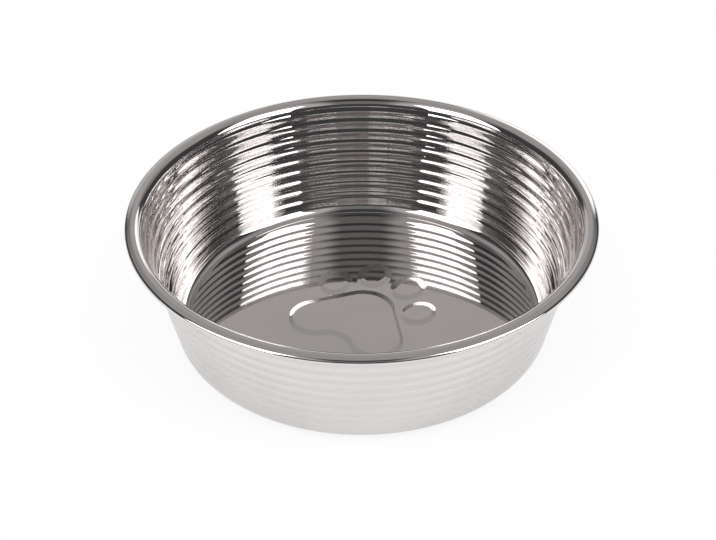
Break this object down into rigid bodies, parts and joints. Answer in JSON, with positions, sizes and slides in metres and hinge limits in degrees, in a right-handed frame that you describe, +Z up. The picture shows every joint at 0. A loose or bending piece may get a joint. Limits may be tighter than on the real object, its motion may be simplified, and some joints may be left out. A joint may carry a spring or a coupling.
{
  "type": "dog bowl",
  "caption": "Round stainless feeding bowl with a beaded sloping wall, a rolled rim, a paw print raised in the floor and a rubber ring under the base.",
  "frame": {"origin": "centre of the bowl, on the surface that the rubber ring stands on", "axes": "+Z up through the mouth of the bowl; the paw print in the floor points between +X and +Y"},
  "size_m": [0.24, 0.24, 0.0694],
  "materials": {
    "steel": "mirror polished stainless steel",
    "rubber": "matt black rubber"
  },
  "bodies": {
    "root": {"bowl_shell": "steel", "nonslip_ring": "rubber"}
  },
  "joints": []
}
